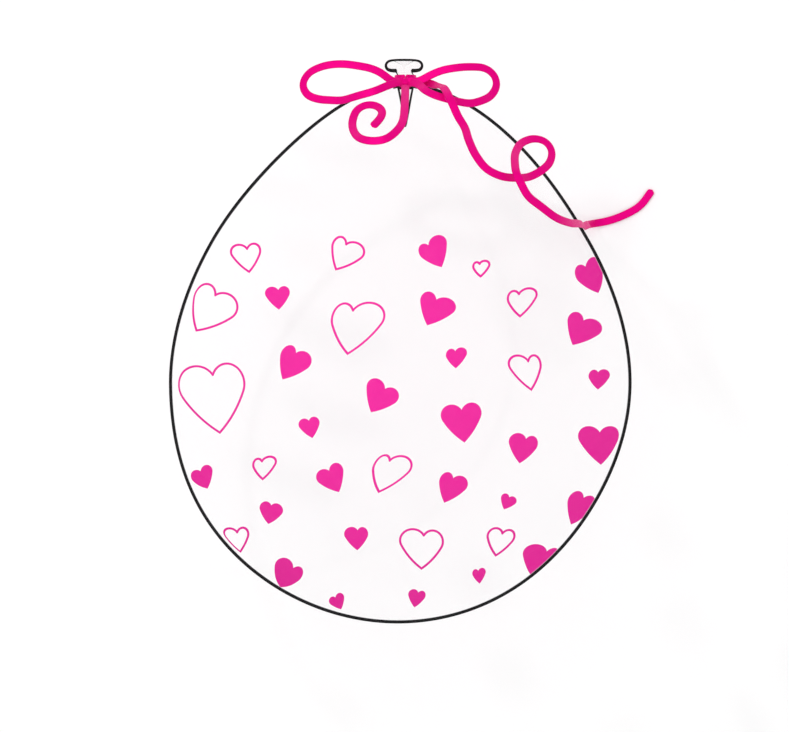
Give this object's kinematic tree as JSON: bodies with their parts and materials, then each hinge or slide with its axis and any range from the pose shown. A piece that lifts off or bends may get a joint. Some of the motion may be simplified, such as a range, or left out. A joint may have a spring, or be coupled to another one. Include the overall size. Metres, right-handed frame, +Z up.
{
  "type": "stuffing balloon",
  "caption": "Clear air-filled balloon lying on its side, printed with hearts and tied shut at the neck with a ribbon bow and two curling tails.",
  "frame": {"origin": "centre of the small flat spot that the balloon rests on, under its widest ring", "axes": "+Y along the balloon towards the tied neck, +Z up, +X to the right seen from above with the neck at the top"},
  "size_m": [0.4956, 0.558, 0.4535],
  "materials": {
    "latex": "clear glossy latex with printed pink hearts",
    "ribbon": "deep pink satin ribbon"
  },
  "bodies": {
    "root": {"balloon": "latex", "ribbon_bow": "ribbon", "ribbon_tail_curled": "ribbon", "ribbon_tail_long": "ribbon"}
  },
  "joints": []
}
